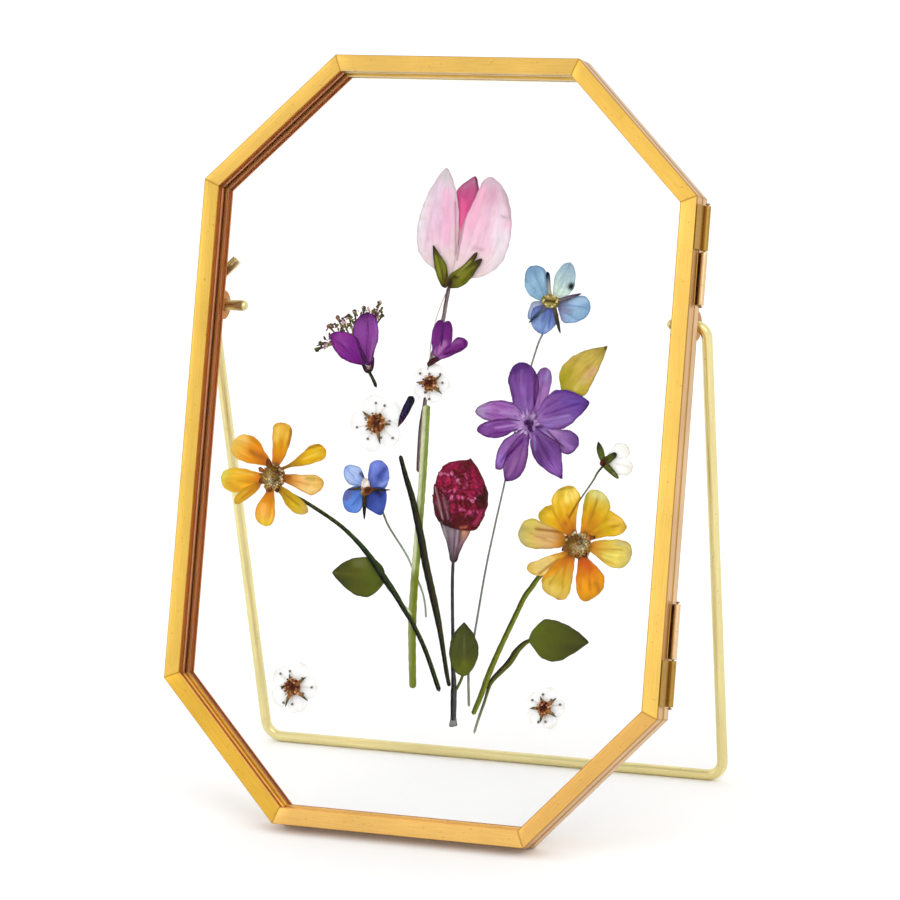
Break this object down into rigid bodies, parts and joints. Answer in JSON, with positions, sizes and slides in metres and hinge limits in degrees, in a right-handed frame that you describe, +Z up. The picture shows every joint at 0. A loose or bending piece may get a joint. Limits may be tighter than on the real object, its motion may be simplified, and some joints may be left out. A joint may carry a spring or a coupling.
{
  "type": "pressed flower frame",
  "caption": "Octagonal double glass frame with a gold rim and a bunch of pressed flowers between the panes, leaning on a folding wire stand.",
  "frame": {"origin": "under the middle of the object, on the surface that it stands on", "axes": "+X to the right seen from the front, +Y towards the back where the stand is, +Z up"},
  "size_m": [0.1415, 0.0758, 0.1905],
  "materials": {
    "gold_metal": "polished yellow gold plating, fine brush lines along each bar",
    "wire_metal": "pale gold plated wire, satin",
    "clear_glass": "clear float glass",
    "pink_petal": "thin dried petal, translucent pale pink with fine veins",
    "deep_pink_petal": "thin dried petal, deep pink",
    "green_sepal": "dried sepal, dull olive green",
    "green_stem": "dried flattened stem, green",
    "dark_stem": "dried stem, nearly black green",
    "thin_stem": "dried thread-like stem, grey green",
    "green_leaf": "dried leaf, dark green with veins",
    "olive_leaf": "dried leaf, olive and tan",
    "purple_petal": "dried petal, purple with darker edges",
    "dark_purple": "dried bud or calyx, nearly black purple",
    "violet_petal": "dried petal, deep violet",
    "crimson_petal": "crumpled dried petals, dark crimson",
    "mauve_sepal": "dried sepal or stem, grey mauve",
    "blue_petal": "dried petal, blue with darker veins",
    "pale_blue_petal": "dried petal, pale blue with fine veins",
    "yellow_petal": "dried petal, translucent amber yellow",
    "white_petal": "very thin dried petal, nearly clear white",
    "brown_centre": "withered blossom middle, rusty brown"
  },
  "bodies": {
    "back_panel": {"back_ring": "gold_metal", "back_glass": "clear_glass", "left_ear": "gold_metal", "right_ear": "gold_metal", "upper_hinge_knuckle": "gold_metal", "upper_hinge_pin": "gold_metal", "lower_hinge_knuckle": "gold_metal", "lower_hinge_pin": "gold_metal", "latch_rivet": "gold_metal", "pink_petals": "pink_petal", "pink_inner_petal": "deep_pink_petal", "pink_calyx": "green_sepal", "pink_stem": "mauve_sepal", "green_stem": "green_stem", "small_purple_petals": "violet_petal", "small_purple_calyx": "dark_purple", "bell_petals": "violet_petal", "bell_stamens": "green_sepal", "bell_stem": "dark_stem", "white_small_petals": "white_petal", "white_small_centre": "brown_centre", "white_left_petals": "white_petal", "white_left_centre": "brown_centre", "white_low_left_petals": "white_petal", "white_low_left_centre": "brown_centre", "white_low_right_petals": "white_petal", "white_low_right_centre": "brown_centre", "purple_bud": "dark_purple", "yellow_left_petals": "yellow_petal", "yellow_left_centre": "brown_centre", "yellow_left_stem": "dark_stem", "yellow_left_leaf": "green_leaf", "blue_petals": "blue_petal", "blue_centre": "brown_centre", "blue_stem": "thin_stem", "dark_stem": "dark_stem", "crimson_bud": "crimson_petal", "crimson_calyx": "mauve_sepal", "crimson_stem": "dark_stem", "small_leaf": "green_leaf", "purple_petals": "purple_petal", "purple_centre": "dark_purple", "pale_blue_petals": "pale_blue_petal", "pale_blue_sepals": "mauve_sepal", "pale_blue_centre": "brown_centre", "long_thin_stem": "thin_stem", "olive_leaf": "olive_leaf", "white_bud_petals": "white_petal", "white_bud_sepals": "dark_stem", "white_bud_stem": "thin_stem", "yellow_right_petals": "yellow_petal", "yellow_right_centre": "brown_centre", "yellow_right_stem": "green_stem", "yellow_right_leaf": "green_leaf"},
    "front_panel": {"front_ring": "gold_metal", "front_glass": "clear_glass", "upper_hinge_leaf": "gold_metal", "lower_hinge_leaf": "gold_metal"},
    "stand": {"wire_stand": "wire_metal"},
    "latch": {"latch_tab": "gold_metal"}
  },
  "joints": [
    {"name": "front_panel_hinge", "type": "hinge", "parent": "back_panel", "child": "front_panel", "pos_m": [0.06995, 0.00147, 0.09587], "axis": [0, 0.342, 0.9397], "range_deg": [0, 170]},
    {"name": "stand_pivot", "type": "hinge", "parent": "back_panel", "child": "stand", "pos_m": [0, 0.01988, 0.12481], "axis": [-1, 0, 0], "range_deg": [0, 24]},
    {"name": "latch_swivel", "type": "hinge", "parent": "back_panel", "child": "latch", "pos_m": [-0.0665, 0.01778, 0.1325], "axis": [0, -0.9397, 0.342], "range_deg": [-45, 45]}
  ]
}
